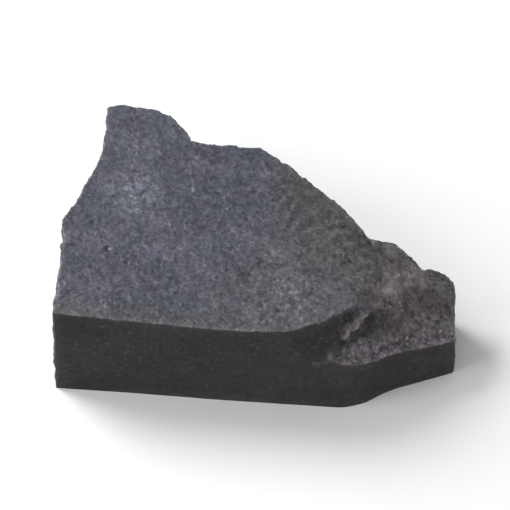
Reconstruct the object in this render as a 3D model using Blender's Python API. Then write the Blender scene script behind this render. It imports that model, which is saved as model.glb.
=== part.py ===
"""Rough hematite: one broken slab of massive, fine-grained hematite, resting on its flat side.

The slab is one piece of stone. +X runs along its longest side towards the broken corner, +Y runs from
the smooth front face to the narrow tip, and +Z is up. The origin is at the bottom centre of its box.
Places and heights below are in millimetres, and MM turns them into Blender's metres.
"""

import math

import bmesh
import bpy
from mathutils import Matrix, Vector, noise

MM = 0.001

# Driving dimensions of the slab, and how finely it is worked.
THICKNESS = 14.0
SPARE = 1.5
FINE, COARSE = 0.35, 0.6
SMALLEST_EDGE = 0.06
TRIANGLES = 9400
SHARP_EDGE = math.radians(32)

# How strongly a wall is broken.
SMOOTH, EVEN, BROKEN = 0.04, 0.4, 1.0

# The rim of the upper face, counter-clockwise from the front left corner. Each corner has its place,
# how far the foot of the wall stands out below it, and how broken the wall is there.
RIM = [
    (-24.6, -15.5, 0.0, SMOOTH),
    (-24.3, -15.8, 0.3, SMOOTH),
    (-13.7, -17.1, -0.1, SMOOTH),
    (-1.7, -18.5, -0.3, SMOOTH),
    (11.8, -19.3, 0.0, SMOOTH),
    (14.5, -18.8, 0.0, SMOOTH),
    (18.3, -16.8, 0.0, SMOOTH),
    (22.3, -14.9, 0.0, SMOOTH),
    (25.9, -13.5, 0.0, SMOOTH),
    (25.9, -5.8, 0.0, SMOOTH),
    (24.6, -5.2, 0.6, EVEN),
    (23.2, -5.0, 1.0, EVEN),
    (21.8, -5.6, 1.0, EVEN),
    (20.4, -4.3, 1.4, EVEN),
    (18.7, -3.5, 1.5, EVEN),
    (16.7, -3.5, 1.6, EVEN),
    (15.2, -3.3, 1.8, EVEN),
    (11.7, 1.8, 2.4, BROKEN),
    (7.5, 6.1, 2.2, BROKEN),
    (2.9, 10.4, 1.4, BROKEN),
    (1.2, 11.7, 0.8, BROKEN),
    (-2.7, 11.8, 0.6, BROKEN),
    (-7.5, 12.7, 1.2, BROKEN),
    (-8.5, 15.3, 0.8, BROKEN),
    (-10.1, 17.2, 0.0, BROKEN),
    (-12.5, 18.3, -0.8, BROKEN),
    (-17.7, 19.2, -1.8, EVEN),
    (-18.5, 13.6, -1.6, EVEN),
    (-19.2, 10.1, -1.2, BROKEN),
    (-20.4, 6.9, -1.0, BROKEN),
    (-22.3, 2.2, -1.4, BROKEN),
    (-23.8, -0.1, -1.6, BROKEN),
    (-23.5, -3.8, -1.0, EVEN),
    (-24.0, -9.2, -0.6, EVEN),
    (-24.2, -12.2, -0.2, EVEN),
]

# The broken corner at the right: a lumpy slope that falls away from the upper face, with a cleft
# between the two.
SLOPE_START = 15.2
SLOPE_FALL = 0.58
LUMPS = [(18.3, -5.4, 2.4, 0.6), (24.0, -7.3, 2.2, 0.6), (17.6, -11.0, 2.2, 0.5)]
CLEFT = [(14.9, -3.0), (15.9, -5.6), (16.5, -8.4), (16.2, -10.4)]
CLEFT_DEPTH, CLEFT_WIDTH = 0.5, 0.55

# In front of them the crest of a scarp, from the left to the right, and then round in front of the
# stone. The scarp drops from it to a coarse shelf, and a low rib runs down it to the left.
CREST = [
    (1.0, -18.9),
    (4.7, -18.5),
    (9.0, -17.3),
    (11.1, -15.9),
    (13.4, -14.5),
    (14.8, -14.3),
    (16.3, -13.9),
    (18.3, -12.6),
    (19.9, -11.8),
    (23.1, -11.0),
    (30.0, -9.0),
    (31.0, -26.0),
    (-1.0, -26.0),
]
SCARP_STEEPNESS = 4.5
SHELF_CORNER = (11.7, -19.2, 8.0)
SHELF_FALL_RIGHT = 0.41
SHELF_RISE_BACK = 0.62
RIB_HEAD, RIB_TOE = (14.8, 12.9), (12.0, 10.7)
RIB_HEIGHT, RIB_WIDTH = 0.75, 0.8

# Chips off the foot of the hidden walls: centre, radius and depth.
FOOT_CHIPS = [
    (8.0, 8.5, 6.5, 2.2),
    (-15.0, 19.5, 6.0, 1.8),
    (-25.5, -3.0, 6.5, 1.6),
    (22.0, -2.5, 4.5, 1.4),
]

# The low and high corners of the ground that the cutters cover.
WHOLE_STONE = (-31.0, -25.0), (31.0, 25.0)
RIGHT_CORNER = (-2.0, -27.0), (32.0, -8.0)


def wander(x, y, z, wavelength, seed):
    """Smooth noise from -1 to 1 whose bumps are about one wavelength apart."""
    shift = Vector((seed, 1.7 * seed, 2.3 * seed))
    return noise.noise(Vector((x, y, z)) / wavelength + shift)


def rise(value, start, end):
    """A smooth step from 0 at start to 1 at end."""
    t = min(1.0, max(0.0, (value - start) / (end - start)))
    return t * t * (3 - 2 * t)


def bell(distance, width):
    """1 at no distance, falling to nothing a few widths away."""
    return math.exp(-((distance / width) ** 2))


def scars(x, y, z, size, seed):
    """Shallow scars of about the given size, dished between sharp ridges: -0.3 to about 0.7."""
    shift = Vector((seed, 1.7 * seed, 2.3 * seed))
    distances, _ = noise.voronoi(Vector((x, y, z)) / size + shift)
    return distances[0] ** 2 - 0.3


def beside(line, x, y):
    """How far the point lies from a line of corners."""
    point = Vector((x, y))
    distances = []
    for start, end in zip(line, line[1:]):
        a, b = Vector(start), Vector(end)
        share = (point - a).dot(b - a) / (b - a).length_squared
        distances.append((point - a.lerp(b, min(1.0, max(0.0, share)))).length)
    return min(distances)


def hackle(x, y):
    """Low ripples that fan out towards the right back edge of the upper face."""
    along = (x - 3.0) * 0.82 + (y + 7.0) * 0.57
    across = (y + 7.0) * 0.82 - (x - 3.0) * 0.57
    spread = across / (1.0 + 0.04 * along) + 0.6 * wander(x, y, 0, 5, 21)
    strength = rise(along, 1.0, 8.0) * bell(across, 6.5)
    return 0.07 * strength * math.sin(2 * math.pi * spread / 1.8)


def parting_face(x, y):
    """The broad upper face: nearly flat, with slow swells and a fine unevenness."""
    swell = 0.26 * wander(x, y, 0, 16, 3) + 0.12 * wander(x, y, 0, 6, 5)
    grain = 0.06 * wander(x, y, 0, 1.7, 7)
    return THICKNESS - 0.2 + swell + grain + hackle(x, y)


def broken_slope(x, y):
    """The lumpy slope that falls to the right from the end of the upper face."""
    start = SLOPE_START + 1.1 * bell(y + 8.5, 3.0) + 0.3 * wander(x, y, 0, 2.5, 11)
    fall = SLOPE_FALL * (x - start) + 0.2 * max(0.0, -9.0 - y)
    rough = 0.4 * wander(x, y, 0, 4.2, 13) + 0.9 * scars(x, y, 0, 2.6, 15)
    for lump_x, lump_y, width, height in LUMPS:
        rough += height * bell(math.hypot(x - lump_x, y - lump_y), width)
    return THICKNESS - fall + (rough - 0.25) * rise(x, start, start + 2.5)


def upper_surface(x, y):
    """The height of the upper face and the slope beside it."""
    cleft = CLEFT_DEPTH * bell(beside(CLEFT, x, y), CLEFT_WIDTH)
    return min(parting_face(x, y), broken_slope(x, y)) - cleft


def shelf(x, y):
    """The coarse, sloping shelf at the foot of the scarp."""
    corner_x, corner_y, height = SHELF_CORNER
    plane = height - SHELF_FALL_RIGHT * (x - corner_x) + SHELF_RISE_BACK * (y - corner_y)
    return plane + 0.3 * wander(x, y, 0, 2.6, 17) + 0.3 * wander(x, y, 0, 1.2, 19)


def under_surface(x, y):
    """The underside: flat to the front, with shallow hollows behind and chips at the hidden feet."""
    hollows = 0.4 * wander(x, y, 0, 12, 31) * rise(y, -17.0, -9.0) - 0.06
    chipped = sum(
        depth * (1 - rise(math.hypot(x - cx, y - cy), 0.25 * radius, radius))
        for cx, cy, radius, depth in FOOT_CHIPS
    )
    return hollows + chipped + 0.1 * chipped * wander(x, y, 0, 2.0, 33)


def side_reach(corner, z):
    """How far a side of the slab stands out from its rim: its lean, its ledges and its scars."""
    x, y, lean, broken = corner
    level = (z + 3.0 * wander(x, y, 0, 9, 41)) / 4.6
    ledge = rise(level - math.floor(level), 0.3, 0.6) - 0.5
    ledges = 0.6 * ledge * (0.6 + 0.8 * wander(x, y, z / 2, 8, 43))
    scarred = 2.2 * scars(x, y, 1.2 * z, 6.0, 45) + 0.7 * scars(x, y, z, 2.4, 47)
    kept = 1 - 0.85 * rise(z, 0.55 * THICKNESS, THICKNESS)
    return lean * (1 - z / THICKNESS) + broken * kept * (ledges + scarred)


def scarp_reach(corner, z):
    """How far the scarp stands out in front of its crest: its batter, its rib and its rough foot."""
    x, y = corner
    foot = shelf(x, y)
    batter = (THICKNESS - z) / SCARP_STEEPNESS + 0.5 * (1 - rise(z, foot - 0.5, foot + 1.5))
    (head_x, head_z), (toe_x, toe_z) = RIB_HEAD, RIB_TOE
    share = min(1.0, max(0.0, (head_x - x) / (head_x - toe_x)))
    rib_x, rib_z = head_x + share * (toe_x - head_x), head_z + share * (toe_z - head_z)
    rib = RIB_HEIGHT * bell(math.hypot(x - rib_x, z - rib_z), RIB_WIDTH)
    return batter + rib + 0.3 * wander(x, y, z, 2.4, 23) + 0.15 * wander(x, y, z, 1.0, 25)


def new_object(name, sculpt):
    """A new object from a closed BMesh, which is turned to face out and freed."""
    bmesh.ops.recalc_face_normals(sculpt, faces=sculpt.faces)
    if sculpt.calc_volume(signed=True) < 0:
        bmesh.ops.reverse_faces(sculpt, faces=sculpt.faces)
    mesh = bpy.data.meshes.new(name)
    sculpt.to_mesh(mesh)
    sculpt.free()
    return bpy.data.objects.new(name, mesh)


def outward(before, here, after):
    """The level direction that points out of a line at one of its corners."""
    along = (here - before).to_2d().normalized() + (after - here).to_2d().normalized()
    return Vector((along.y, -along.x)).normalized()


def forward(before, here, after):
    """The level direction straight to the front, whichever way the line runs."""
    return Vector((0.0, -1.0))


def spaced(corners, direction, step):
    """Points about one step apart round a closed line of corners, each with its direction."""
    corners = [Vector(corner) for corner in corners]
    around = list(zip(corners[-1:] + corners[:-1], corners, corners[1:] + corners[:1]))
    ways = [direction(*three) for three in around]
    points = []
    for (_, a, b), way, next_way in zip(around, ways, ways[1:] + ways[:1]):
        steps = max(1, round((b - a).to_2d().length / step))
        for number in range(steps):
            share = number / steps
            points.append((a.lerp(b, share), way.lerp(next_way, share).normalized()))
    return points


def lofted(name, corners, direction, reach, step):
    """A closed block whose sides follow a line of corners and stand out by what reach gives."""
    points = spaced(corners, direction, step)
    bottom, top = -SPARE, THICKNESS + SPARE
    levels = round((top - bottom) / step)
    sculpt = bmesh.new()
    rings = []
    for level in range(levels + 1):
        z = bottom + level * (top - bottom) / levels
        spots = [point.to_2d() + way * reach(point, z) for point, way in points]
        rings.append([sculpt.verts.new(Vector((spot.x, spot.y, z)) * MM) for spot in spots])
    for lower, upper in zip(rings, rings[1:]):
        for a, b, c, d in zip(lower, lower[1:] + lower[:1], upper[1:] + upper[:1], upper):
            sculpt.faces.new((a, b, c, d))
    sculpt.faces.new(rings[0])
    sculpt.faces.new(rings[-1])
    return new_object(name, sculpt)


def slab_of(name, surface, lid, ground, step):
    """A closed block over the ground between a broken surface and a flat lid at the given height."""
    (low_x, low_y), (high_x, high_y) = ground
    size = Matrix.Diagonal(((high_x - low_x) / 2, (high_y - low_y) / 2, 1, 1))
    centre = Matrix.Translation(((low_x + high_x) / 2, (low_y + high_y) / 2, 0))
    columns, rows = round((high_x - low_x) / step), round((high_y - low_y) / step)
    sculpt = bmesh.new()
    bmesh.ops.create_grid(
        sculpt, x_segments=columns, y_segments=rows, size=1.0, matrix=centre @ size
    )
    for vertex in sculpt.verts:
        x, y, _ = vertex.co
        vertex.co = Vector((x, y, surface(x, y))) * MM
    border = [edge for edge in sculpt.edges if edge.is_boundary]
    walls = bmesh.ops.extrude_edge_only(sculpt, edges=border)["geom"]
    for item in walls:
        if isinstance(item, bmesh.types.BMVert):
            item.co.z = lid * MM
    rim = [item for item in walls if isinstance(item, bmesh.types.BMEdge) and item.is_boundary]
    bmesh.ops.contextual_create(sculpt, geom=rim)
    return new_object(name, sculpt)


def applied(stone):
    """Applies the object's modifiers to its mesh and takes them off."""
    bpy.context.view_layer.update()
    evaluated = stone.evaluated_get(bpy.context.evaluated_depsgraph_get())
    mesh = bpy.data.meshes.new_from_object(evaluated)
    stone.modifiers.clear()
    stone.data = mesh


def cut(stone, cutter):
    """Takes the cutter's volume off the stone."""
    difference = stone.modifiers.new(f"cut {cutter.name}", "BOOLEAN")
    difference.operation = "DIFFERENCE"
    difference.solver = "EXACT"
    difference.object = cutter
    applied(stone)


def thin_out(stone, triangles):
    """Keeps about that many triangles, most of them where the surface is rough."""
    sculpt = bmesh.new()
    sculpt.from_mesh(stone.data)
    bmesh.ops.dissolve_degenerate(sculpt, edges=sculpt.edges, dist=SMALLEST_EDGE * MM)
    bmesh.ops.triangulate(sculpt, faces=sculpt.faces)
    share = triangles / len(sculpt.faces)
    sculpt.to_mesh(stone.data)
    sculpt.free()
    decimate = stone.modifiers.new("thin out", "DECIMATE")
    decimate.ratio = share
    applied(stone)


def mend(sculpt):
    """Closes up the edges where two flakes of the surface touch, and drops what comes loose."""
    pinched = [edge for edge in sculpt.edges if len(edge.link_faces) > 2]
    bmesh.ops.collapse(sculpt, edges=pinched)
    loose = [vertex for vertex in sculpt.verts if not vertex.link_faces]
    bmesh.ops.delete(sculpt, geom=loose, context="VERTS")


def set_down(stone):
    """Cuts the underside flat where the stone rests, and moves the origin to the bottom centre."""
    sculpt = bmesh.new()
    sculpt.from_mesh(stone.data)
    mend(sculpt)
    whole = sculpt.verts[:] + sculpt.edges[:] + sculpt.faces[:]
    bmesh.ops.bisect_plane(
        sculpt, geom=whole, dist=1e-7, plane_co=(0, 0, 0), plane_no=(0, 0, -1), clear_outer=True
    )
    bmesh.ops.holes_fill(sculpt, edges=[edge for edge in sculpt.edges if edge.is_boundary])
    bmesh.ops.dissolve_degenerate(sculpt, edges=sculpt.edges, dist=SMALLEST_EDGE * MM)
    bmesh.ops.triangulate(sculpt, faces=sculpt.faces)
    xs = [vertex.co.x for vertex in sculpt.verts]
    ys = [vertex.co.y for vertex in sculpt.verts]
    middle = Vector((-(min(xs) + max(xs)) / 2, -(min(ys) + max(ys)) / 2, 0))
    sculpt.transform(Matrix.Translation(middle))
    bmesh.ops.recalc_face_normals(sculpt, faces=sculpt.faces)
    sculpt.to_mesh(stone.data)
    sculpt.free()


def hematite():
    """The stone's material: dark, half metallic and finely rough."""
    material = bpy.data.materials.new("hematite")
    material.use_nodes = True
    surface = material.node_tree.nodes["Principled BSDF"]
    surface.inputs["Base Color"].default_value = (0.105, 0.103, 0.118, 1.0)
    surface.inputs["Metallic"].default_value = 0.6
    surface.inputs["Roughness"].default_value = 0.48
    return material


def collection(name):
    """A new collection in the scene."""
    made = bpy.data.collections.new(name)
    bpy.context.scene.collection.children.link(made)
    return made


def build():
    """Breaks the slab out of its block."""
    for old in list(bpy.data.objects):
        bpy.data.objects.remove(old)
    stones, cutters = collection("rough hematite"), collection("cutters")
    stone = lofted("hematite_slab", RIM, outward, side_reach, COARSE)
    stones.objects.link(stone)
    lid, floor = THICKNESS + 3 * SPARE, -6 * SPARE
    above = slab_of("upper_break", upper_surface, lid, WHOLE_STONE, COARSE)
    below = slab_of("under_break", under_surface, floor, WHOLE_STONE, 2 * COARSE)
    under_shelf = slab_of("under_shelf", shelf, floor, RIGHT_CORNER, FINE)
    scarp = lofted("scarp_break", CREST, forward, scarp_reach, FINE)
    for cutter in (above, below, under_shelf, scarp):
        cutter.hide_render = True
        cutter.display_type = "WIRE"
        cutters.objects.link(cutter)
    cut(scarp, under_shelf)
    for cutter in (above, below, scarp):
        cut(stone, cutter)
    thin_out(stone, TRIANGLES)
    set_down(stone)
    stone.data.shade_smooth()
    stone.data.set_sharp_from_angle(angle=SHARP_EDGE)
    stone.data.materials.clear()
    stone.data.materials.append(hematite())


build()
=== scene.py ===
"""Rough hematite: the finish of one broken slab of massive, fine-grained hematite.

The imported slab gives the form. The stone that is shown is a finer copy of it. Each of its faces is
worked over in its own way: the granular parting face on top, the smooth front, the lumpy slope and the
crystalline shelf of the broken corner, and the scarred walls. Places and lengths are in millimetres in
the slab's own frame, with +X along its longest side, +Z up and the smooth front towards -Y. MM turns
them into metres.
"""

import logging
import math
from dataclasses import dataclass, field
from enum import Enum
from functools import cache
from typing import Union

import bmesh
import bpy
import numpy as np
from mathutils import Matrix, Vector, noise


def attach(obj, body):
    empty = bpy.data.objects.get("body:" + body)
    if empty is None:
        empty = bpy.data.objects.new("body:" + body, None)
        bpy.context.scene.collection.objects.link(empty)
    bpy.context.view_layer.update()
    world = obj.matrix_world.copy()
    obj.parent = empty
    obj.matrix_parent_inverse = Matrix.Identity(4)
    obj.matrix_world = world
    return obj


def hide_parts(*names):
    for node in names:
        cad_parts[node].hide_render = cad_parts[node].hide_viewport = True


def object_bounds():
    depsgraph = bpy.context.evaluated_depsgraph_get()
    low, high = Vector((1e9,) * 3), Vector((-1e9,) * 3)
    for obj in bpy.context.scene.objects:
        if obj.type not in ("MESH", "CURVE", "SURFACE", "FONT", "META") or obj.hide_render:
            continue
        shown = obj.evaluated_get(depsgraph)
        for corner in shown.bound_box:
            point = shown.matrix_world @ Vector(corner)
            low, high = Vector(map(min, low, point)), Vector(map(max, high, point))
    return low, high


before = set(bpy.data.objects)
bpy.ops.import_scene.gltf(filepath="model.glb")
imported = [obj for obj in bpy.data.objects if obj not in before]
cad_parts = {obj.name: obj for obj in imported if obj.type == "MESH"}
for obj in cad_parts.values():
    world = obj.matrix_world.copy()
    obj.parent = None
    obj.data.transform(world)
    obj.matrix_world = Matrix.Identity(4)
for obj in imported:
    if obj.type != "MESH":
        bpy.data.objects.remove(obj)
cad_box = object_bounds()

MM = 0.001
FAINTEST_SHARE = 0.01
SHORTEST = 1e-12
log = logging.getLogger("rough hematite")

Place = tuple[float, float]
Span = tuple[float, float]
Line = tuple[Place, ...]
Spot = tuple[float, float, float]
Colour = tuple[float, float, float]

# Landmarks of the slab, seen from above.
FRONT_RIM: Line = (
    (-25.3, -15.4), (-25.0, -15.7), (-14.4, -17.0), (-2.4, -18.4), (11.1, -19.2),
    (13.8, -18.7), (17.6, -16.7), (21.6, -14.8), (25.3, -13.4),
)
CREST: Line = (
    (0.3, -18.8), (4.0, -18.4), (8.3, -17.2), (10.4, -15.8), (12.7, -14.4), (14.1, -14.2),
    (15.6, -13.8), (17.6, -12.5), (19.2, -11.7), (22.4, -10.9), (29.3, -8.9),
)
BACK_RIM: Line = (
    (2.2, 10.5), (6.8, 6.2), (11.0, 1.9), (14.5, -3.2), (18.0, -3.4), (19.8, -4.2), (21.1, -5.5),
    (22.5, -4.9), (25.2, -5.7),
)
PALE_RIDGE: Line = ((20.0, -7.2), (16.9, -10.8), (14.4, -13.8))
RIB: Line = ((14.1, 12.9), (11.3, 10.7))  # seen from the front
SHELF_CORNER: Spot = (11.0, -19.1, 8.0)
SHELF_FALL_RIGHT = 0.41
SHELF_RISE_BACK = 0.62
LEDGE_HEIGHT = 8.2


# ---- Relief ----


def ramp(values: np.ndarray, start: float, end: float) -> np.ndarray:
    """A smooth step over an array.

    Args:
        values: the numbers to step.
        start: where the step starts.
        end: where it ends, on either side of the start.

    Returns:
        0 at the start, 1 at the end, and a smooth rise between them.
    """
    t = np.clip((values - start) / (end - start), 0.0, 1.0)
    return t * t * (3 - 2 * t)


def bell(distances: np.ndarray, width: float) -> np.ndarray:
    """Returns 1 at no distance, falling to nothing a few widths away."""
    return np.exp(-((distances / width) ** 2))


def off_line(points: np.ndarray, line: Line) -> np.ndarray:
    """How far points lie from a line, seen from above.

    Args:
        points: places in millimetres, one a row.
        line: the corners of the line.

    Returns:
        The distance of each point.
    """
    plan = points[:, :2]
    nearest = np.full(len(plan), np.inf)
    for start, end in zip(line, line[1:]):
        a, along = np.array(start), np.subtract(end, start)
        share = np.clip((plan - a) @ along / (along @ along), 0.0, 1.0)
        gap = np.linalg.norm(plan - a - share[:, None] * along, axis=1)
        nearest = np.minimum(nearest, gap)
    return nearest


def behind_line(points: np.ndarray, line: Line) -> np.ndarray:
    """How far points lie behind a line that runs from left to right, seen from above.

    Args:
        points: places in millimetres, one a row.
        line: the corners of the line.

    Returns:
        The distance of each point, below zero in front of the line.
    """
    xs, ys = zip(*line)
    side = np.sign(points[:, 1] - np.interp(points[:, 0], xs, ys))
    return side * off_line(points, line)


class Pattern(Enum):
    """How a layer of relief is made up."""

    SWELLS = "smooth bumps and hollows"
    CRYSTALS = "domed grains with grooves between them"
    SCARS = "dished flake scars with sharp ridges between them"
    PITS = "small, scattered pits"
    FACETS = "little flat faces at slightly different heights"


@dataclass(frozen=True)
class Relief:
    """One layer of relief: its pattern, the size of its features, its height and its own seed.

    A pit has a radius, a crystal's side falls into a groove, a scar is dished, and a facet is tilted
    and raised by three random draws.
    """

    pattern: Pattern
    size: float
    height: float
    seed: float
    radius: float = 0.3
    seed_steps: Spot = (1.0, 1.7, 2.3)
    groove: float = 1.6
    dish: float = 0.3
    draws: Spot = (7.31, 3.17, 5.03)
    steepness: float = 2.0
    upright_tilt: float = 0.3

    def height_at(self, spot: Vector) -> float:
        """The layer's height at one place.

        Args:
            spot: the place, in millimetres.

        Returns:
            The height, in millimetres.
        """
        scaled = spot / self.size + Vector([step * self.seed for step in self.seed_steps])
        if self.pattern is Pattern.SWELLS:
            return self.height * noise.noise(scaled)
        (nearest, second, *_), places = noise.voronoi(scaled)
        if self.pattern is Pattern.CRYSTALS:
            return self.height * (min(1.0, self.groove * (second - nearest)) - 0.5)
        if self.pattern is Pattern.SCARS:
            return self.height * (nearest**2 - self.dish)
        if self.pattern is Pattern.FACETS:
            right, back, rise = (noise.cell(places[0] * draw) - 0.5 for draw in self.draws)
            lean = (scaled - places[0]).dot(Vector((right, back, self.upright_tilt * right)))
            return self.height * (self.steepness * lean + rise)
        return -self.height * math.exp(-((nearest * self.size / self.radius) ** 2))

    def over(self, points: np.ndarray, share: np.ndarray) -> np.ndarray:
        """The layer's heights where it is wanted.

        Args:
            points: places in millimetres, one a row.
            share: how much of the layer each point gets, from 0 to 1.

        Returns:
            The height at each point.
        """
        heights = np.zeros(len(points))
        for index in np.flatnonzero(share > FAINTEST_SHARE):
            heights[index] = self.height_at(Vector(points[index]))
        return heights * share


class Face(Enum):
    """The kinds of face on the stone. The names are also those of the mesh's masks."""

    PARTING = "parting"
    SLOPE = "slope"
    SHELF = "shelf"
    SCARP = "scarp"
    FRONT = "front"
    WALL = "wall"
    UNDERSIDE = "underside"


@dataclass(frozen=True)
class Working:
    """How a kind of face is worked: its mesh's longest edge, how long it is smoothed, and its relief."""

    edge: float
    smoothing: int
    layers: tuple[Relief, ...]


WORKINGS: dict[Face, Working] = {
    Face.PARTING: Working(0.21, 60, (
        Relief(Pattern.SWELLS, 2.6, 0.07, 3.1),
        Relief(Pattern.SWELLS, 0.9, 0.02, 5.3),
        Relief(Pattern.FACETS, 0.6, 0.022, 7.7),
        Relief(Pattern.PITS, 5.5, 0.16, 9.2, 0.32),
    )),
    Face.SLOPE: Working(0.26, 8, (
        Relief(Pattern.SWELLS, 1.6, 0.26, 11.3),
        Relief(Pattern.SCARS, 1.2, 0.12, 13.9),
        Relief(Pattern.SWELLS, 0.7, 0.12, 15.1),
    )),
    Face.SHELF: Working(0.22, 6, (
        Relief(Pattern.SWELLS, 1.3, 0.22, 17.7),
        Relief(Pattern.FACETS, 0.8, 0.06, 18.8),
        Relief(Pattern.SWELLS, 0.5, 0.055, 19.4),
    )),
    Face.SCARP: Working(0.26, 8, (
        Relief(Pattern.SWELLS, 1.3, 0.18, 21.5),
        Relief(Pattern.FACETS, 0.7, 0.10, 23.6),
    )),
    Face.FRONT: Working(0.34, 60, (
        Relief(Pattern.SWELLS, 5.0, 0.05, 25.2),
        Relief(Pattern.SWELLS, 0.9, 0.018, 27.8),
        Relief(Pattern.PITS, 6.0, 0.10, 28.4, 0.25),
    )),
    Face.WALL: Working(0.36, 8, (
        Relief(Pattern.SWELLS, 1.8, 0.22, 29.1),
        Relief(Pattern.SCARS, 2.4, 0.3, 31.4),
        Relief(Pattern.CRYSTALS, 0.9, 0.07, 33.2),
    )),
    Face.UNDERSIDE: Working(0.7, 0, (
        Relief(Pattern.SWELLS, 1.6, 0.12, 35.9),
    )),
}


# ---- Zones ----


class Measure(Enum):
    """What a zone's limit is measured in: millimetres, or parts of a unit normal."""

    RIGHT = "how far right"
    BACK = "how far back"
    UP = "how high"
    LOOKING_BACK = "how much the normal looks back"
    LOOKING_UP = "how much the normal looks up"
    BEHIND_FRONT = "how far behind the front's rim"
    BEFORE_CREST = "how far in front of the crest"
    OVER_SHELF = "how high over the shelf's plane"
    WAVERING_RIGHT = "how far right, to a line that wavers"
    PAST_BULGE = "how far right, to a line that wavers and bulges"
    FROM_TIP = "how far from the tip"
    TO_CORNER = "how far towards the broken corner"


@dataclass(frozen=True)
class Limit:
    """A soft limit: its measure, the figure where a zone has faded out, and the one where it is whole."""

    measure: Measure
    outside: float
    inside: float


class Zone(Enum):
    """The soft-edged zones of the stone, and the limits that each lies within."""

    LEVEL = (Limit(Measure.LOOKING_UP, 0.4, 0.7),)
    OVERHUNG = (Limit(Measure.LOOKING_UP, -0.6, -0.85),)
    FRONTAL = (Limit(Measure.LOOKING_BACK, -0.35, -0.6),)
    INSIDE_RIM = (Limit(Measure.BEHIND_FRONT, 0.15, 0.6),)
    SHELF = (
        Limit(Measure.OVER_SHELF, 1.4, 0.6), Limit(Measure.BEFORE_CREST, 0.3, 1.0),
        Limit(Measure.RIGHT, 1.0, 3.0),
    )
    LOST_SHELF = (Limit(Measure.WAVERING_RIGHT, 13.5, 7.0),)
    SLOPE = (Limit(Measure.PAST_BULGE, 13.1, 16.4),)
    SCARP = (Limit(Measure.BEFORE_CREST, -0.1, 0.25), Limit(Measure.RIGHT, 1.0, 3.0))
    PAST_SMOOTH_SCARP = (Limit(Measure.RIGHT, 8.5, 11.5),)
    PAST_SCARP = (Limit(Measure.RIGHT, 14.4, 18.6),)
    OVER_LEDGES = (Limit(Measure.UP, 11.3, 11.8),)
    PAST_LEDGES = (Limit(Measure.RIGHT, 12.1, 13.1),)
    MELTED_LEFT = (
        Limit(Measure.RIGHT, 1.0, 3.0), Limit(Measure.RIGHT, 10.4, 8.9),
        Limit(Measure.BEHIND_FRONT, 1.6, 1.0),
        Limit(Measure.UP, 13.2, 12.8), Limit(Measure.UP, 7.0, 8.0),
    )
    MELTED_MIDDLE = (
        Limit(Measure.OVER_SHELF, 2.2, 1.4), Limit(Measure.RIGHT, 8.0, 9.5),
        Limit(Measure.BEFORE_CREST, 0.2, 0.6), Limit(Measure.BEHIND_FRONT, 0.6, 1.2),
    )
    MELTED_RIGHT = (
        Limit(Measure.RIGHT, 17.0, 18.2), Limit(Measure.BACK, -6.0, -7.5),
        Limit(Measure.BEHIND_FRONT, 0.6, 1.2),
    )
    BEHIND_CREST = (Limit(Measure.BEFORE_CREST, -0.5, -1.5),)
    RIB = (Limit(Measure.BEFORE_CREST, -0.1, 0.25), Limit(Measure.BEHIND_FRONT, 0.5, 1.2))
    OFF_GROUND = (Limit(Measure.UP, 0.0, 0.8),)
    BACK_RIMS = (Limit(Measure.BEHIND_FRONT, 1.0, 3.0),)
    GREENISH = (Limit(Measure.RIGHT, 0.0, 6.0),)
    BRIGHT_END = (Limit(Measure.FROM_TIP, 2.0, -30.0),)
    # the front's left end, darkened with painted shade
    PAINTED_SHADE_END = (Limit(Measure.RIGHT, -12.0, -25.0),)
    LEDGE = (Limit(Measure.RIGHT, 4.5, 7.5), Limit(Measure.RIGHT, 11.5, 10.0))
    WARM_FRONT = (Limit(Measure.BEHIND_FRONT, 4.0, 1.0),)
    WARM_CORNER = (Limit(Measure.TO_CORNER, -2.0, 10.0),)
    # where the front's painted light rises towards its foot
    FOOT = (Limit(Measure.UP, 13.0, 0.0),)


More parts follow.
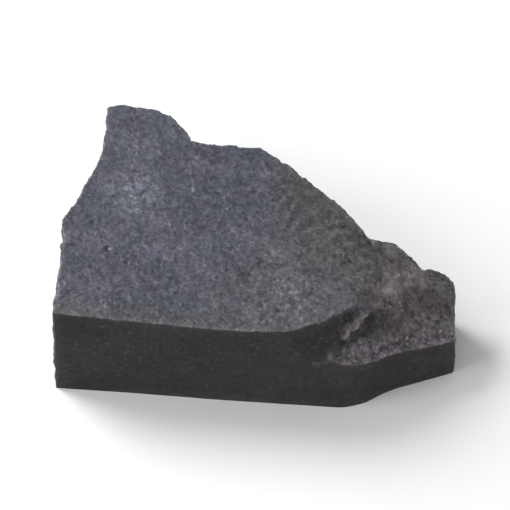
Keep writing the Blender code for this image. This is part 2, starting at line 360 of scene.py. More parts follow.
@dataclass(eq=False)
class Survey:
    """What there is to measure at some points of the stone, at which its normals may be known."""

    points: np.ndarray
    normals: np.ndarray | None = None
    wavering: Relief = Relief(Pattern.SWELLS, 1.6, 1.6, 51.7)
    wavers_from: float = 4.0
    bulge_middle: float = -8.4
    bulge_reach: float = 1.1
    bulge_width: float = 3.0
    tip_slant: float = 0.9
    corner_slant: float = 0.6
    lost: float = 0.6
    ragged: Relief = Relief(Pattern.SWELLS, 0.8, 0.8, 57.1)
    ragged_from: float = 8.0
    ridge_width: float = 1.5
    rib_width: float = 0.6

    @cache
    def measured(self, measure: Measure) -> np.ndarray:
        """Works out one measure, the first time that it is wanted.

        Args:
            measure: the measure.

        Returns:
            The figure at each point.
        """
        x, y, z = self.points.T
        corner_x, corner_y, corner_z = SHELF_CORNER
        match measure:
            case Measure.RIGHT:
                return x
            case Measure.BACK:
                return y
            case Measure.UP:
                return z
            case Measure.LOOKING_BACK:
                return self.normals[:, 1]
            case Measure.LOOKING_UP:
                return self.normals[:, 2]
            case Measure.BEHIND_FRONT:
                return behind_line(self.points, FRONT_RIM)
            case Measure.BEFORE_CREST:
                return -behind_line(self.points, CREST)
            case Measure.OVER_SHELF:
                return z - (corner_z - SHELF_FALL_RIGHT * (x - corner_x) + SHELF_RISE_BACK * (y - corner_y))
            case Measure.WAVERING_RIGHT:
                return x + self.wavering.over(self.points, (x > self.wavers_from).astype(float))
            case Measure.PAST_BULGE:
                bulge = self.bulge_reach * bell(y - self.bulge_middle, self.bulge_width)
                return self.measured(Measure.WAVERING_RIGHT) - bulge
            case Measure.FROM_TIP:
                return x - self.tip_slant * y
            case Measure.TO_CORNER:
                return x - self.corner_slant * y

    def within(self, zone: Zone) -> np.ndarray:
        """How far inside a zone each point is.

        Args:
            zone: the zone.

        Returns:
            0 outside, 1 inside, and a smooth rise at each limit.
        """
        share = np.ones(len(self.points))
        for limit in zone.value:
            share *= ramp(self.measured(limit.measure), limit.outside, limit.inside)
        return share

    def shares(self) -> dict[Face, np.ndarray]:
        """Tells the kinds of face apart by where they lie and which way they look.

        Returns:
            For each kind of face, how much of it each point has. The shares of a point add up to 1.
        """
        level, overhung = self.within(Zone.LEVEL), self.within(Zone.OVERHUNG)
        upright = (1 - level) * (1 - overhung)
        inside, shelf, slope = self.within(Zone.INSIDE_RIM), self.within(Zone.SHELF), self.within(Zone.SLOPE)
        scarp = upright * inside * self.within(Zone.SCARP)
        started, ended = self.within(Zone.PAST_SMOOTH_SCARP), self.within(Zone.PAST_SCARP)
        lost = self.lost * self.within(Zone.LOST_SHELF)
        broad = np.maximum(self.within(Zone.OVER_LEDGES), self.within(Zone.PAST_LEDGES))
        level *= np.maximum(broad, shelf)
        shares = {
            Face.SHELF: level * shelf * (1 - lost),
            Face.SLOPE: level * (1 - shelf) * slope + scarp * ended,
            Face.PARTING: level * (1 - shelf) * (1 - slope),
            Face.FRONT: upright * (1 - inside) * self.within(Zone.FRONTAL) + scarp * (1 - started),
            Face.SCARP: scarp * started * (1 - ended) + level * shelf * lost,
            Face.UNDERSIDE: overhung,
        }
        shares[Face.WALL] = np.clip(1 - sum(shares.values()), 0.0, 1.0)
        total = sum(shares.values())
        return {face: share / total for face, share in shares.items()}

    def melted(self) -> np.ndarray:
        """1 where the scarp melts into the front or the slope and no edge stays crisp, 0 elsewhere."""
        zones = (Zone.MELTED_LEFT, Zone.MELTED_MIDDLE, Zone.MELTED_RIGHT)
        return np.max([self.within(zone) for zone in zones], axis=0)

    def pale_rock(self) -> np.ndarray:
        """Where the broken corner is pale: along a low ridge on the slope, and down the scarp's rib, where
        the paleness is a painted highlight.

        Returns:
            1 on the pale rock, fading to 0 beside it.
        """
        stray = self.ragged.over(self.points, (self.points[:, 0] > self.ragged_from).astype(float))
        ridge = bell(off_line(self.points, PALE_RIDGE) + stray, self.ridge_width)
        rib = bell(off_line(self.points[:, [0, 2]], RIB) + stray, self.rib_width)
        return np.maximum(ridge * self.within(Zone.BEHIND_CREST), rib * self.within(Zone.RIB))


# ---- Stone ----


@dataclass(frozen=True)
class Round:
    """A round place on the stone, seen from above where its middle has only two numbers."""

    middle: tuple[float, ...]
    radius: float

    def over(self, points: np.ndarray) -> np.ndarray:
        """How far inside each point is: 1 in the middle, and 0 well outside."""
        off = points[:, :len(self.middle)] - self.middle
        return bell(np.linalg.norm(off, axis=1), self.radius)


@dataclass(frozen=True)
class Dent(Round):
    """A small pit: its depth, and how much lighter it is. A pit is darkened with painted shade; a chip is
    lightened.
    """

    depth: float
    lighter: float = -0.5


@dataclass(frozen=True)
class Pull(Round):
    """A corner drawn sideways: how far, in plan."""

    shift: Place


@dataclass(frozen=True)
class Patch(Round):
    """A patch of the parting face that glitters with painted glints and sheen: how strongly."""

    strength: float


@dataclass(frozen=True)
class Hackles:
    """Low ripples that fan out from a root towards the right back edge of the parting face.

    They start some way out along their heading, get wider apart by their fanning for each millimetre,
    wander by their bend, and stop at their lowest height.
    """

    root: Place = (2.3, -7.0)
    heading: Place = (0.82, 0.57)
    start: Span = (1.0, 8.0)
    width: float = 6.5
    lowest: float = 12.0
    fanning: float = 0.04
    spacing: float = 1.8
    height: float = 0.09
    faintest: float = 0.02
    bend: Relief = Relief(Pattern.SWELLS, 3.2, 1.3, 21.0)

    def over(self, points: np.ndarray) -> np.ndarray:
        """The ripples, before they get their height.

        Args:
            points: places in millimetres, one a row.

        Returns:
            -1 in their hollows, 1 on their tops, and 0 where there are none.
        """
        x, y = points[:, 0] - self.root[0], points[:, 1] - self.root[1]
        along = self.heading[0] * x + self.heading[1] * y
        across = self.heading[0] * y - self.heading[1] * x
        strength = ramp(along, *self.start) * bell(across, self.width)
        strength[points[:, 2] < self.lowest] = 0.0
        bend = self.bend.over(points, (strength > self.faintest).astype(float))
        spread = across / (1.0 + self.fanning * along) + bend
        return strength * np.sin(2 * math.pi * spread / self.spacing)


def unit(vectors: np.ndarray) -> np.ndarray:
    """Vectors brought to a length of 1."""
    return vectors / np.maximum(np.linalg.norm(vectors, axis=1, keepdims=True), SHORTEST)


@dataclass
class Skin:
    """The stone's closed mesh: its points in millimetres, its edges, its triangles and its crisp rims."""

    points: np.ndarray
    edges: np.ndarray
    faces: np.ndarray
    rim: np.ndarray

    @classmethod
    def of(cls, sculpt: bmesh.types.BMesh) -> "Skin":
        """Reads a mesh.

        Args:
            sculpt: a mesh of triangles, on which the crisp edges aren't smooth.

        Returns:
            The mesh as arrays.
        """
        edges = np.array([[v.index for v in edge.verts] for edge in sculpt.edges])
        crisp = np.array([not edge.smooth for edge in sculpt.edges])
        faces = np.array([[v.index for v in face.verts] for face in sculpt.faces])
        return cls(np.array([v.co for v in sculpt.verts]) / MM, edges, faces, edges[crisp])

    def crosses(self) -> np.ndarray:
        """The way each triangle faces, as long as twice its area."""
        a, b, c = (self.points[self.faces[:, corner]] for corner in range(3))
        return np.cross(b - a, c - a)

    def normals(self) -> np.ndarray:
        """The way out of the stone at each point.

        Returns:
            Unit normals, weighted by the triangles' areas.
        """
        crosses = self.crosses()
        total = np.zeros_like(self.points)
        for corner in range(3):
            for axis in range(3):
                total[:, axis] += np.bincount(self.faces[:, corner], crosses[:, axis], len(total))
        return unit(total)

    def pairs(self) -> np.ndarray:
        """The two triangles on each edge.

        Returns:
            The pairs, one an edge.
        """
        sides = np.sort(self.faces[:, [0, 1, 1, 2, 2, 0]].reshape(-1, 2), axis=1)
        order = np.lexsort((sides[:, 1], sides[:, 0]))
        return (order // 3).reshape(-1, 2)

    def middles(self, edges: np.ndarray, turns: int = 1) -> np.ndarray:
        """The middle of each point's neighbours.

        Args:
            edges: the edges that make neighbours.
            turns: how many times the points move there.

        Returns:
            The middles. A point with no neighbour stays where it is.
        """
        points = self.points
        first, second = edges.T
        counts = np.bincount(edges.ravel(), minlength=len(points))[:, None]
        for _ in range(turns):
            total = np.empty_like(points)
            for axis in range(3):
                ahead = np.bincount(first, points[second, axis], len(points))
                total[:, axis] = ahead + np.bincount(second, points[first, axis], len(points))
            points = np.where(counts > 0, total / np.maximum(counts, 1), points)
        return points


@dataclass
class Slab:
    """The stone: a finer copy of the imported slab, worked over face by face.

    Attributes:
        crisp: the bend, in degrees, from which an edge stays crisp.
        splits, slack: how often long edges are halved, and how much too long one may stay.
        melting, rim_smoothing: how often the melted edges and the crisp ones are smoothed.
        easing, folded: how often folded triangles are eased, and the cosine from which they are folded.
        lean: how far back the stone leans for each millimetre of height.
        ridge_scales: how often the stone is smoothed to find the ridges of each mask.
    """

    node: str = "hematite_slab"
    piece: str = "hematite_stone"
    slot: str = "hematite"
    weld: float = 0.001
    crisp: float = 32.0
    splits: int = 5
    slack: float = 1.35
    melting: int = 70
    rim_smoothing: int = 6
    resting: float = 0.02
    easing: int = 12
    folded: float = -0.35
    hackles: Hackles = Hackles()
    cleft: Line = ((14.2, -2.9), (15.2, -5.5), (15.8, -8.3), (15.5, -10.3))
    cleft_width: float = 0.32
    cleft_depth: float = 0.08
    dents: tuple[Dent, ...] = (
        Dent((-18.6, -5.1, 14.0), 0.42, 0.34),
        Dent((-20.4, -0.6, 14.0), 0.38, 0.3),
        Dent((-15.1, -16.9, 10.1), 0.28, 0.06, 1.0),
        Dent((-25.0, 0.55, 8.55), 0.8, 0.55, 0.0),
    )
    lean: float = 0.036
    pulls: tuple[Pull, ...] = (
        Pull((-18.5, 16.8), 1.4, (-0.6, 0.0)),
        Pull((-18.2, 18.9), 0.8, (-0.5, -0.4)),
        Pull((-16.9, 18.6), 1.0, (0.0, 0.15)),
        Pull((16.5, -16.3), 4.0, (0.0, 0.6)),
    )
    nicks: tuple[Relief, ...] = (
        Relief(Pattern.SWELLS, 1.7, 0.34, 41.3),
        Relief(Pattern.SWELLS, 0.7, 0.16, 43.1),
    )
    nick_depth: float = 0.25
    front_nicks: float = 0.25
    pale_rise: float = 0.25
    patches: tuple[Patch, ...] = (
        Patch((-15.5, 4.4), 3.4, 1.0),
        Patch((4.9, -12.2), 4.4, 0.6),
        Patch((-12.9, -4.7), 2.6, 0.5),
    )
    ridge_scales: tuple[tuple[str, int], ...] = (("fine_ridge", 3), ("broad_ridge", 24))
    green_width: float = 6.0
    warm_corner: float = 0.9
    ledge_thickness: float = 0.7
    # the share of the foot zone below which the front's painted light turns to painted shade
    foot_middle: float = 0.25
    masks: dict[str, np.ndarray] = field(default_factory=dict)

    def build(self, material: bpy.types.Material) -> bpy.types.Object:
        """Makes the stone and rides it on the slab's body.

        Args:
            material: the stone's finish.

        Returns:
            The finished stone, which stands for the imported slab.
        """
        sculpt = self._fine_copy()
        skin = Skin.of(sculpt)
        mesh = bpy.data.meshes.new(self.piece)
        sculpt.to_mesh(mesh)
        sculpt.free()
        self._smooth(skin)
        shares = Survey(skin.points, skin.normals()).shares()
        self._work(skin, shares)
        self._unfold(skin)
        self._keep_masks(skin, shares)
        mesh.vertices.foreach_set("co", (skin.points * MM).ravel())
        for name, values in self.masks.items():
            mask = mesh.attributes.new(name, "FLOAT", "POINT")
            mask.data.foreach_set("value", values)
        mesh.shade_smooth()
        mesh.update()
        mesh.materials.clear()
        mesh.materials.append(material)
        stone = bpy.data.objects.new(self.piece, mesh)
        bpy.context.scene.collection.objects.link(stone)
        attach(stone, "root")
        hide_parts(self.node)
        return stone

    def _fine_copy(self) -> bmesh.types.BMesh:
        """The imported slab's mesh, welded and split until no edge is longer than its face wants.

        Returns:
            A mesh of triangles, on which the crisp edges aren't smooth.
        """
        sculpt = bmesh.new()
        sculpt.from_mesh(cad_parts[self.node].data)
        bmesh.ops.remove_doubles(sculpt, verts=sculpt.verts, dist=self.weld * MM)
        middles = np.array([(edge.verts[0].co + edge.verts[1].co) / 2 for edge in sculpt.edges]) / MM
        for edge, soft in zip(sculpt.edges, Survey(middles).melted() > 0.5):
            edge.smooth = bool(soft) or edge.calc_face_angle(0.0) < math.radians(self.crisp)
        for _ in range(self.splits):
            bmesh.ops.subdivide_edges(sculpt, edges=self._long_edges(sculpt), cuts=1)
            bmesh.ops.triangulate(sculpt, faces=sculpt.faces, quad_method="SHORT_EDGE")
        bmesh.ops.beautify_fill(
            sculpt, faces=sculpt.faces, edges=[edge for edge in sculpt.edges if edge.smooth]
        )
        sculpt.verts.index_update()
        return sculpt

    def _long_edges(self, sculpt: bmesh.types.BMesh) -> list[bmesh.types.BMEdge]:
        """Finds the edges that are longer than their faces want.

        Args:
            sculpt: the mesh.

        Returns:
            Those edges.
        """
        sculpt.normal_update()
        sculpt.verts.index_update()
        points = np.array([v.co for v in sculpt.verts]) / MM
        ends = np.array([[v.index for v in edge.verts] for edge in sculpt.edges])
        facing = np.array([
            sum((face.normal for face in edge.link_faces), Vector()) / 2 for edge in sculpt.edges
        ])
        middles = (points[ends[:, 0]] + points[ends[:, 1]]) / 2
        lengths = np.linalg.norm(points[ends[:, 0]] - points[ends[:, 1]], axis=1)
        shares = Survey(middles, facing).shares()
        wanted = sum(share * WORKINGS[face].edge for face, share in shares.items())
        return [edge for edge, long in zip(sculpt.edges, lengths > self.slack * wanted) if long]

    def _smooth(self, skin: Skin) -> None:
        """Smooths the faces, and the crisp edges along their own length.

        Args:
            skin: the stone's mesh.
        """
        survey = Survey(skin.points, skin.normals())
        passes = sum(share * WORKINGS[face].smoothing for face, share in survey.shares().items())
        passes = np.maximum(passes, self.melting * survey.melted())
        on_rim = np.bincount(skin.rim.ravel(), minlength=len(passes))
        resting = skin.points[:, 2] < self.resting
        for turn in range(self.melting):
            free = (passes > turn) & (on_rim == 0)
            skin.points = np.where(free[:, None], skin.middles(skin.edges), skin.points)
            if turn < self.rim_smoothing:
                slid = (skin.points + skin.middles(skin.rim)) / 2
                skin.points = np.where((on_rim == 2)[:, None], slid, skin.points)
            skin.points[resting, 2] = 0.0

    def _work(self, skin: Skin, shares: dict[Face, np.ndarray]) -> None:
        """Raises each face's relief, and cuts the cleft, the hackles, the dents and the nicked rim.

        Args:
            skin: the stone's mesh.
            shares: how much of each kind of face a point has.
        """
        points = skin.points
        survey = Survey(points)
        height = np.zeros(len(points))
        for face, working in WORKINGS.items():
            for layer in working.layers:
                height += layer.over(points, shares[face])
        height += shares[Face.PARTING] * self.hackles.height * self.hackles.over(points)
        height -= self.cleft_depth * bell(off_line(points, self.cleft), self.cleft_width) * (
            shares[Face.PARTING] + shares[Face.SLOPE]
        )
        for dent in self.dents:
            height -= dent.depth * dent.over(points)
        on_rim = np.zeros(len(points))
        on_rim[skin.rim.ravel()] = 1.0
        on_rim *= self.front_nicks + (1 - self.front_nicks) * survey.within(Zone.BACK_RIMS)
        for nick in self.nicks:
            height += nick.over(points, on_rim) - self.nick_depth * nick.height * on_rim
        height += self.pale_rise * survey.pale_rock() * (1 - shares[Face.PARTING])
        height *= survey.within(Zone.OFF_GROUND)
        drawn = sum(np.outer(pull.over(points), (*pull.shift, 0.0)) for pull in self.pulls)
        drawn[:, 1] += self.lean * points[:, 2]
        skin.points = points + skin.normals() * height[:, None] + drawn

    def _unfold(self, skin: Skin) -> None:
        """Eases apart the small triangles that the work has folded over a neighbour.

        Args:
            skin: the stone's mesh.
        """
        pairs = skin.pairs()
        for _ in range(self.easing):
            facing = unit(skin.crosses())
            bends = np.einsum("ij,ij->i", facing[pairs[:, 0]], facing[pairs[:, 1]])
            folded = np.zeros(len(skin.points), bool)
            folded[skin.faces[pairs[bends < self.folded]].ravel()] = True
            skin.points = np.where(folded[:, None], skin.middles(skin.edges), skin.points)

    def _keep_masks(self, skin: Skin, shares: dict[Face, np.ndarray]) -> None:
        """Works out the masks that the finish reads: the faces, the ridges, and where its colour changes.

        Args:
            skin: the stone's mesh.
            shares: how much of each kind of face a point has.
        """
        points, normals = skin.points, skin.normals()
        survey = Survey(points)
        self.masks = {face.value: share for face, share in shares.items()}
        # how far each point rises over its neighbours, which the finish turns into painted highlight and
        # painted shade
        for name, turns in self.ridge_scales:
            rise = points - skin.middles(skin.edges, turns)
            self.masks[name] = np.einsum("ij,ij->i", rise, normals)
        ledge = bell(points[:, 2] - LEDGE_HEIGHT, self.ledge_thickness) * survey.within(Zone.LEDGE)
        warm_corner = self.warm_corner * survey.within(Zone.WARM_CORNER)
        back_rim = bell(off_line(points, BACK_RIM), self.green_width)
        self.masks |= {
            "greenish": back_rim * survey.within(Zone.GREENISH),
            # pale rock along the slope's ridge; down the scarp's rib it is a painted highlight
            "pale": survey.pale_rock(),
            # painted light on the hackles' tops and painted shade in their hollows
            "painted_streaks": self.hackles.over(points),
            "bright_end": shares[Face.PARTING] * survey.within(Zone.BRIGHT_END),
            # painted shade: the front's left end is darkened against the light that falls on it there
            "painted_shade_left_end": shares[Face.FRONT] * survey.within(Zone.PAINTED_SHADE_END),
            # painted shade in the pits, and one lighter chip
            "dents": np.sum([dent.lighter * dent.over(points) for dent in self.dents], axis=0),
            "lost_shelf": shares[Face.FRONT] * ledge,
            "warm": np.maximum(survey.within(Zone.WARM_FRONT), warm_corner),
            # painted light and shade on the front: lighter towards its foot and darker towards its top,
            # evening out the shade the floor leaves low on it
            "painted_front_gradient": shares[Face.FRONT] * (survey.within(Zone.FOOT) - self.foot_middle),
            "glittery": np.max([patch.strength * patch.over(points) for patch in self.patches], axis=0),
        }


# ---- Finish ----

Number = Union[float, "Value"]
Paint = Union[Colour, bpy.types.NodeSocket]


class Value:
    """A number that changes over the surface: a socket that takes part in Python's arithmetic."""

    def __init__(self, socket: bpy.types.NodeSocket) -> None:
        """Wraps an output socket."""
        self.socket = socket

    def _math(self, operation: str, first: Number, second: Number = 0.0) -> "Value":
        """Adds a Math node.

        Args:
            operation: the node's operation.
            first: its first number.
            second: its second number.

        Returns:
            The result.
        """
        made = self.socket.id_data.nodes.new("ShaderNodeMath")
        made.operation = operation
        feed(made.inputs[0], first)
        feed(made.inputs[1], second)
        return Value(made.outputs[0])

    def __add__(self, other: Number) -> "Value":
        """Adds a number."""
        return self._math("ADD", self, other)

    __radd__ = __add__

    def __mul__(self, other: Number) -> "Value":
        """Multiplies by a number."""
        return self._math("MULTIPLY", self, other)

    __rmul__ = __mul__

    def __sub__(self, other: Number) -> "Value":
        """Takes a number away."""
        return self._math("SUBTRACT", self, other)

    def __rsub__(self, other: Number) -> "Value":
        """Takes this away from a number."""
        return self._math("SUBTRACT", other, self)

    def limited(self, low: float, high: float) -> "Value":
        """This, kept between two numbers."""
        return self._math("MINIMUM", self._math("MAXIMUM", self, low), high)


def feed(socket: bpy.types.NodeSocket, given: Number | Paint) -> None:
    """Gives an input socket what it reads.

    Args:
        socket: the input.
        given: a number or a colour that it keeps, or a value or an output that it is linked to.
    """
    source = given.socket if isinstance(given, Value) else given
    if isinstance(source, bpy.types.NodeSocket):
        socket.id_data.links.new(source, socket)
    else:
        socket.default_value = (*source, 1.0) if socket.type == "RGBA" else source


@dataclass(frozen=True)
class Cloud:
    """A soft noise: the size of its clouds, its detail, its shift, and the levels of its edges, if wanted."""

    size: float
    detail: float
    shift: float
    levels: Span = (0.35, 0.65)
    roughness: float = 0.6


@dataclass(frozen=True)
class Grains:
    """Grains with a tone of their own each: their size in millimetres, and which part of them is used."""

    size: float
    shift: float


class Recipe:
    """A material's node tree, with short ways to add nodes to it."""

    def __init__(self, name: str) -> None:
        """Starts a material with no nodes.

        Args:
            name: the material's name.
        """
        self.material = bpy.data.materials.new(name)
        self.material.use_nodes = True
        self.tree = self.material.node_tree
        self.tree.nodes.clear()

    def node(self, kind: str, settings: dict | None = None, inputs: dict | None = None) -> bpy.types.Node:
        """Adds a node.

        Args:
            kind: the node's type.
            settings: its own settings, such as an operation, set first.
            inputs: numbers, colours, values or sockets, by the name or place of the node's sockets.

        Returns:
            The node.
        """
        made = self.tree.nodes.new(kind)
        for name, setting in (settings or {}).items():
            setattr(made, name, setting)
        for name, given in (inputs or {}).items():
            feed(made.inputs[name], given)
        return made

    def vector(self, operation: str, first: Paint, second: Paint | None = None) -> bpy.types.NodeSocket:
        """Adds a Vector Math node on one or two vectors or colours.

        Args:
            operation: the node's operation.
            first: its first vector.
            second: its second vector.

        Returns:
            The result.
        """
        inputs = {0: first} if second is None else {0: first, 1: second}
        return self.node("ShaderNodeVectorMath", {"operation": operation}, inputs).outputs[0]

    def scaled(self, vector: bpy.types.NodeSocket, amount: Number) -> bpy.types.NodeSocket:
        """A vector made longer or shorter, or a colour made lighter or darker."""
        made = self.node("ShaderNodeVectorMath", {"operation": "SCALE"}, {0: vector, "Scale": amount})
        return made.outputs[0]

    @cache
    def mask(self, name: str) -> Value:
        """Reads one of the mesh's masks."""
        read = self.node("ShaderNodeAttribute", {"attribute_name": name, "attribute_type": "GEOMETRY"})
        return Value(read.outputs["Fac"])

    @cache
    def place(self) -> bpy.types.NodeSocket:
        """The place on the stone, in millimetres."""
        return self.scaled(self.node("ShaderNodeTexCoord").outputs["Object"], 1 / MM)

    def cloud(self, cloud: Cloud) -> Value:
        """The noise over the stone."""
        made = self.node("ShaderNodeTexNoise", {"noise_dimensions": "4D"}, {
            "Vector": self.place(),
            "W": cloud.shift,
            "Scale": 1 / cloud.size,
            "Detail": cloud.detail,
            "Roughness": cloud.roughness,
        })
        return Value(made.outputs["Fac"])

    def clouds(self, cloud: Cloud) -> Value:
        """A noise with clear edges: 0 between its clouds and 1 on them."""
        return self.step(self.cloud(cloud), cloud.levels)

    @cache
    def grains(self, grains: Grains) -> bpy.types.NodeSocket:
        """The grains' own colours, which are random."""
        inputs = {"Vector": self.place(), "W": grains.shift, "Scale": 1 / grains.size}
        settings = {"voronoi_dimensions": "4D", "feature": "F1"}
        return self.node("ShaderNodeTexVoronoi", settings, inputs).outputs["Color"]

    def channel(self, colour: bpy.types.NodeSocket, index: int) -> Value:
        """One channel of a colour, as a number."""
        return Value(self.node("ShaderNodeSeparateColor", None, {0: colour}).outputs[index])

    def step(self, value: Value, levels: Span) -> Value:
        """0 below the first level, 1 above the second, and a smooth rise between them."""
        inputs = {"Value": value, "From Min": levels[0], "From Max": levels[1]}
        return Value(self.node("ShaderNodeMapRange", {"interpolation_type": "SMOOTHSTEP"}, inputs).outputs[0])

    def blend(self, share: Number, first: Paint, second: Paint, mode: str = "MIX") -> bpy.types.NodeSocket:
        """Mixes two colours.

        Args:
            share: how much of the second colour there is.
            first: the first colour.
            second: the second colour.
            mode: how they mix.

        Returns:
            The mixed colour.
        """
        made = self.node("ShaderNodeMix", {"data_type": "RGBA", "blend_type": mode})
        for name, given in (("Factor_Float", share), ("A_Color", first), ("B_Color", second)):
            feed(next(socket for socket in made.inputs if socket.identifier == name), given)
        return next(socket for socket in made.outputs if socket.identifier == "Result_Color")


@dataclass(frozen=True)
class Tone:
    """The look of one kind of face: two colours that mingle, how much its grains differ, its shine."""

    colour: Colour
    second: Colour
    contrast: float
    metallic: float
    roughness: float
    tilt: float


@dataclass(frozen=True)
class Cast:
    """A colour that the stone tends to in places, and how far it goes there."""

    colour: Colour
    strength: float


@dataclass(frozen=True)
class HematiteFinish:
    """Hematite: half metallic grains in steel grey, with violet-blue and brownish casts.

    Attributes:
        glint_levels, spark_levels, dust_levels: the tones between which a grain comes to stand out.
        clouds: the soft noises in its tone, and how strong each is.
        ridges, mask_lights: how much lighter each of these masks makes it, as painted highlight on the
            ridges, painted shade in the hollows, the pits and the front's left end, and painted light towards
            the front's foot.
        cluster_metal: how metallic the dullest cluster is, and how much more so the brightest is.
        bump: the height of its finest bumps, in millimetres.
    """

    name: str = "hematite"
    specular: float = 0.16
    grain: Grains = Grains(0.36, 0.0)
    cluster: Grains = Grains(0.95, 4.0)
    glint: Grains = Grains(0.58, 9.0)
    glint_levels: Span = (0.64, 0.88)
    spark_levels: Span = (0.87, 1.0)
    spark_in_glitter: float = 0.2
    dust_levels: Span = (0.6, 0.8)
    lobes: Cloud = Cloud(1.5, 3.0, 4.0, (0.38, 0.6))
    faint_glitter: float = 0.3
    painted_streaks: Cloud = Cloud(1.4, 2.0, 5.0)
    mottling: Cloud = Cloud(5.0, 4.0, 1.5)
    bluish: Cloud = Cloud(3.6, 3.0, 6.0, (0.42, 0.62))
    cluster_contrast: float = 0.35
    clouds: tuple[tuple[Cloud, float], ...] = (
        (Cloud(0.45, 3.0, 8.45), 2.0),
        (Cloud(0.8, 3.0, 8.8), 2.0),
        (Cloud(1.8, 3.0, 9.8), 1.1),
        (Cloud(5.0, 3.0, 13.0), 0.8),
    )
    # painted highlight on ridges and painted shade in hollows
    ridges: tuple[tuple[str, float], ...] = (("fine_ridge", 3.0), ("broad_ridge", 1.2))
    ridge_limits: Span = (-0.28, 0.4)
    spark_light: float = 1.5
    glitter_light: float = 0.2
    glint_light: float = 1.5
    streak_light: float = 0.085
    dust_light: float = 0.9
    # painted light towards the front's foot, painted shade at its left end and in the pits
    mask_lights: tuple[tuple[str, float], ...] = (
        ("painted_front_gradient", 0.35), ("bright_end", 0.08), ("painted_shade_left_end", -0.3), ("dents", 1.0),
    )
    grain_tint: float = 0.16
    cluster_metal: Span = (0.55, 0.9)
    spark_metal: float = 0.6
    grain_roughness: float = 0.16
    spark_polish: float = 0.3
    roughness_limits: Span = (0.2, 0.8)
    grain_tilt: float = 2.0
    cluster_tilt: float = 1.0
    bump: float = 0.03
    bump_strength: float = 0.6
    bumps: Cloud = Cloud(0.14, 3.0, 3.0)
    blue: Cast = Cast((0.069, 0.078, 0.095), 0.75)
    warm: Cast = Cast((0.086, 0.082, 0.086), 0.8)
    # painted sheen: a bluish-white cast where the parting face glitters
    sheen: Cast = Cast((0.094, 0.101, 0.120), 0.5)
    green: Cast = Cast((0.070, 0.072, 0.068), 0.9)
    slope_green: Cast = Cast((0.070, 0.072, 0.068), 0.8)
    pale: Colour = (0.172, 0.152, 0.154)
    tones: dict[Face, Tone] = field(default_factory=lambda: {
        Face.PARTING: Tone((0.073, 0.071, 0.090), (0.088, 0.085, 0.105), 0.6, 0.25, 0.5, 0.19),
        Face.SLOPE: Tone((0.092, 0.079, 0.082), (0.127, 0.109, 0.114), 0.5, 0.2, 0.5, 0.15),
        Face.SHELF: Tone((0.133, 0.123, 0.135), (0.188, 0.174, 0.191), 0.56, 0.3, 0.45, 0.2),
        Face.SCARP: Tone((0.037, 0.035, 0.036), (0.056, 0.052, 0.053), 0.3, 0.15, 0.5, 0.1),
        Face.FRONT: Tone((0.0275, 0.0250, 0.0250), (0.0335, 0.0305, 0.0310), 0.36, 0.05, 0.5, 0.03),
        Face.WALL: Tone((0.040, 0.038, 0.040), (0.058, 0.053, 0.057), 0.4, 0.3, 0.48, 0.14),
        Face.UNDERSIDE: Tone((0.045, 0.042, 0.044), (0.060, 0.056, 0.060), 0.3, 0.25, 0.5, 0.1),
    })

    def material(self) -> bpy.types.Material:
        """Makes the material.

        Returns:
            The material, which reads the stone's masks.
        """
        recipe = Recipe(self.name)
        grain = recipe.grains(self.grain)
        grain_shade, cluster_shade = recipe.channel(grain, 0), self._cluster_shade(recipe)
        lobes = (1 - self.faint_glitter) * recipe.clouds(self.lobes)
        glitter = recipe.mask("glittery") * (self.faint_glitter + lobes)
        contrast = self._mingled(recipe, "contrast")
        spark = recipe.step(grain_shade + self.spark_in_glitter * glitter, self.spark_levels) * contrast

        speckle = grain_shade - 0.5 + self.cluster_contrast * (cluster_shade - 0.5)
        for cloud, strength in self.clouds:
            speckle = speckle + strength * (recipe.cloud(cloud) - 0.5)
        shade = 1.0 + contrast * speckle + self._ridges(recipe)
        shade = shade + self._lights(recipe, spark, glitter)
        tint = recipe.blend(
            contrast * self.grain_tint, self._colour(recipe, glitter), grain, "SOFT_LIGHT"
        )

        dullest, more = self.cluster_metal
        metal = dullest + more * cluster_shade
        metallic = self._mingled(recipe, "metallic") * metal + self.spark_metal * spark
        roughness = self._mingled(recipe, "roughness") + self.grain_roughness * (grain_shade - 0.5)
        bumped = recipe.node("ShaderNodeBump", None, {
            "Strength": self.bump_strength,
            "Distance": self.bump * MM,
            "Height": recipe.cloud(self.bumps),
            "Normal": self._tilted(recipe),
        })
        shader = recipe.node("ShaderNodeBsdfPrincipled", None, {
            "Base Color": recipe.scaled(tint, shade),
            "Metallic": metallic.limited(0.0, 1.0),
            "Roughness": (roughness - self.spark_polish * spark).limited(*self.roughness_limits),
            "Normal": bumped.outputs["Normal"],
            "Specular IOR Level": self.specular,
        })
        recipe.node("ShaderNodeOutputMaterial", None, {"Surface": shader.outputs["BSDF"]})
        return recipe.material

    def _mingled(self, recipe: Recipe, name: str) -> Value:
        """One figure of the tones, mingled by the faces' masks.

        Args:
            recipe: the material.
            name: the figure's name.

        Returns:
            The figure over the stone.
        """
        parts = [recipe.mask(face.value) * getattr(tone, name) for face, tone in self.tones.items()]
        return sum(parts[1:], parts[0])

    def _ridges(self, recipe: Recipe) -> Value:
        """Painted highlight on the ridges and painted shade in the hollows, within their limits."""
        parts = [light * recipe.mask(name) for name, light in self.ridges]
        return sum(parts[1:], parts[0]).limited(*self.ridge_limits)

    def _cluster_shade(self, recipe: Recipe) -> Value:
        """The tone of each cluster of grains."""
        return recipe.channel(recipe.grains(self.cluster), 1)

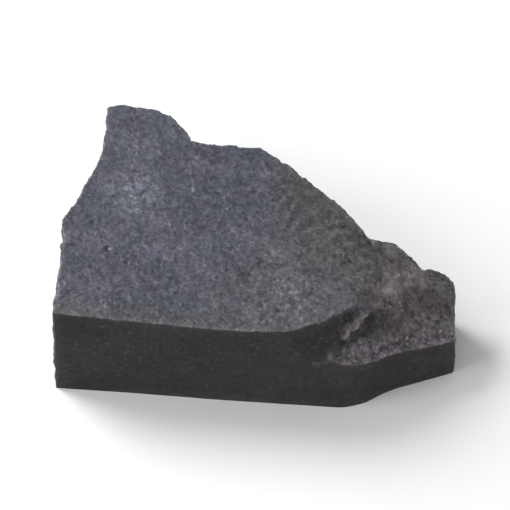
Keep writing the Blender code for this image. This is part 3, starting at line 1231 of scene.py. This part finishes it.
    def _lights(self, recipe: Recipe, spark: Value, glitter: Value) -> Value:
        """What else is lighter or darker: painted glints on sparkling grains and glittery patches, painted
        light and shade along the hackles, dust, and the masks' places.

        Args:
            recipe: the material.
            spark: how much each grain sparkles.
            glitter: where the parting face glitters most.

        Returns:
            All the lights together.
        """
        painted_streaks = recipe.mask("painted_streaks") * recipe.clouds(self.painted_streaks)
        dust = recipe.mask("lost_shelf") * recipe.step(self._cluster_shade(recipe), self.dust_levels)
        glint_shade = recipe.channel(recipe.grains(self.glint), 0)
        glints = glitter * recipe.step(glint_shade, self.glint_levels)
        # painted glints: sparkling grains and the glints of glittery patches are lightened; sparkling grains
        # are also more metallic and polished
        lit = self.spark_light * spark + self.glitter_light * glitter + self.glint_light * glints
        # painted light and shade along the hackles
        lit = lit + self.streak_light * painted_streaks + self.dust_light * dust
        for name, light in self.mask_lights:
            lit = lit + light * recipe.mask(name)
        return lit

    def _colour(self, recipe: Recipe, glitter: Value) -> bpy.types.NodeSocket:
        """The stone's colour before its grains: each face's two colours, with its casts and its pale rock.

        Args:
            recipe: the material.
            glitter: where the parting face glitters most.

        Returns:
            The colour.
        """
        mottling = recipe.clouds(self.mottling)
        green = recipe.mask("greenish")
        casts = {
            Face.PARTING: (
                (self.blue, recipe.clouds(self.bluish)),
                (self.warm, recipe.mask("warm")),
                (self.sheen, glitter),
                (self.green, green),
            ),
            Face.SLOPE: ((self.slope_green, green * green),),
        }
        total = None
        for face, tone in self.tones.items():
            colour = recipe.blend(mottling, tone.colour, tone.second)
            for cast, where in casts.get(face, ()):
                colour = recipe.blend(cast.strength * where, colour, cast.colour)
            # pale rock, and a painted highlight down the rib
            if face in (Face.SLOPE, Face.SCARP, Face.SHELF):
                colour = recipe.blend(recipe.mask("pale"), colour, self.pale)
            part = recipe.scaled(colour, recipe.mask(face.value))
            total = part if total is None else recipe.vector("ADD", total, part)
        return total

    def _tilted(self, recipe: Recipe) -> bpy.types.NodeSocket:
        """The surface's normal, tilted a little another way on each grain.

        Args:
            recipe: the material.

        Returns:
            The tilted normal.
        """
        tilt = self._mingled(recipe, "tilt")
        normal = recipe.node("ShaderNodeNewGeometry").outputs["Normal"]
        for grains, share in ((self.grain, self.grain_tilt), (self.cluster, self.cluster_tilt)):
            lean = recipe.vector("SUBTRACT", recipe.grains(grains), (0.5, 0.5, 0.5))
            normal = recipe.vector("ADD", normal, recipe.scaled(lean, tilt * share))
        return recipe.vector("NORMALIZE", normal)


# ---- Studio ----


@dataclass(frozen=True)
class Softbox:
    """One round soft lamp, aimed at the stone: its place and width, and its power in watts."""

    place: Spot
    width: float
    power: float


@dataclass
class Studio:
    """A pale floor under two soft lamps in a softly lit room, and the camera, at its elevation in degrees."""

    floor_size: float = 3000.0
    floor_colour: Colour = (0.88, 0.88, 0.885)
    floor_roughness: float = 0.9
    floor_specular: float = 0.1
    room_light: float = 0.49
    softboxes: tuple[Softbox, ...] = (
        Softbox((-360.0, 260.0, 380.0), 320.0, 3.1),
        Softbox((-400.0, -140.0, 300.0), 320.0, 1.05),
    )
    elevation: float = 50.0
    lens: float = 400.0
    sensor: float = 36.0
    fill: float = 0.78
    nearest: float = 0.1
    farthest: float = 10_000.0

    def lay_floor(self) -> None:
        """Lays the floor."""
        sheet = bmesh.new()
        bmesh.ops.create_grid(sheet, x_segments=1, y_segments=1, size=self.floor_size * MM / 2)
        mesh = bpy.data.meshes.new("floor")
        sheet.to_mesh(mesh)
        sheet.free()
        recipe = Recipe("floor paper")
        shader = recipe.node("ShaderNodeBsdfPrincipled", None, {
            "Base Color": self.floor_colour,
            "Roughness": self.floor_roughness,
            "Specular IOR Level": self.floor_specular,
        })
        recipe.node("ShaderNodeOutputMaterial", None, {"Surface": shader.outputs["BSDF"]})
        mesh.materials.append(recipe.material)
        floor = bpy.data.objects.new("floor", mesh)
        bpy.context.scene.collection.objects.link(floor)

    def light(self) -> None:
        """Hangs the lamps and sets the room's light."""
        world = bpy.data.worlds.new("room")
        world.use_nodes = True
        background = world.node_tree.nodes["Background"]
        background.inputs["Color"].default_value = (1.0, 1.0, 1.0, 1.0)
        background.inputs["Strength"].default_value = self.room_light
        bpy.context.scene.world = world
        for softbox in self.softboxes:
            disk = bpy.data.lights.new("softbox", "AREA")
            disk.shape = "DISK"
            disk.size = softbox.width * MM
            disk.energy = softbox.power
            lamp = bpy.data.objects.new("softbox", disk)
            lamp.location = Vector(softbox.place) * MM
            lamp.rotation_euler = (-lamp.location).to_track_quat("-Z", "Y").to_euler()
            lamp.visible_camera = False
            bpy.context.scene.collection.objects.link(lamp)

    def set_camera(self) -> None:
        """Sets up the camera in front of the stone, looking down on it."""
        low, high = cad_box
        eye = bpy.data.cameras.new("camera")
        eye.lens = self.lens
        eye.sensor_width = self.sensor
        width = (high.x - low.x) / self.fill
        distance = width * self.lens / self.sensor
        eye.clip_start = self.nearest * distance
        eye.clip_end = self.farthest * MM
        camera = bpy.data.objects.new("camera", eye)
        tilt = math.radians(self.elevation)
        back = Vector((0.0, -math.cos(tilt), math.sin(tilt)))
        camera.location = (low + high) / 2 + back * distance
        camera.rotation_euler = (-back).to_track_quat("-Z", "Y").to_euler()
        bpy.context.scene.collection.objects.link(camera)
        bpy.context.scene.camera = camera


def main() -> None:
    """Builds the stone and the studio round it."""
    logging.basicConfig(level=logging.INFO, format="%(name)s: %(message)s")
    studio = Studio()
    studio.set_camera()
    stone = Slab().build(HematiteFinish().material())
    log.info("%s has %d triangles", stone.name, len(stone.data.polygons))
    studio.lay_floor()
    studio.light()
    bpy.context.scene.view_settings.view_transform = "Standard"


if __name__ == "__main__":
    main()
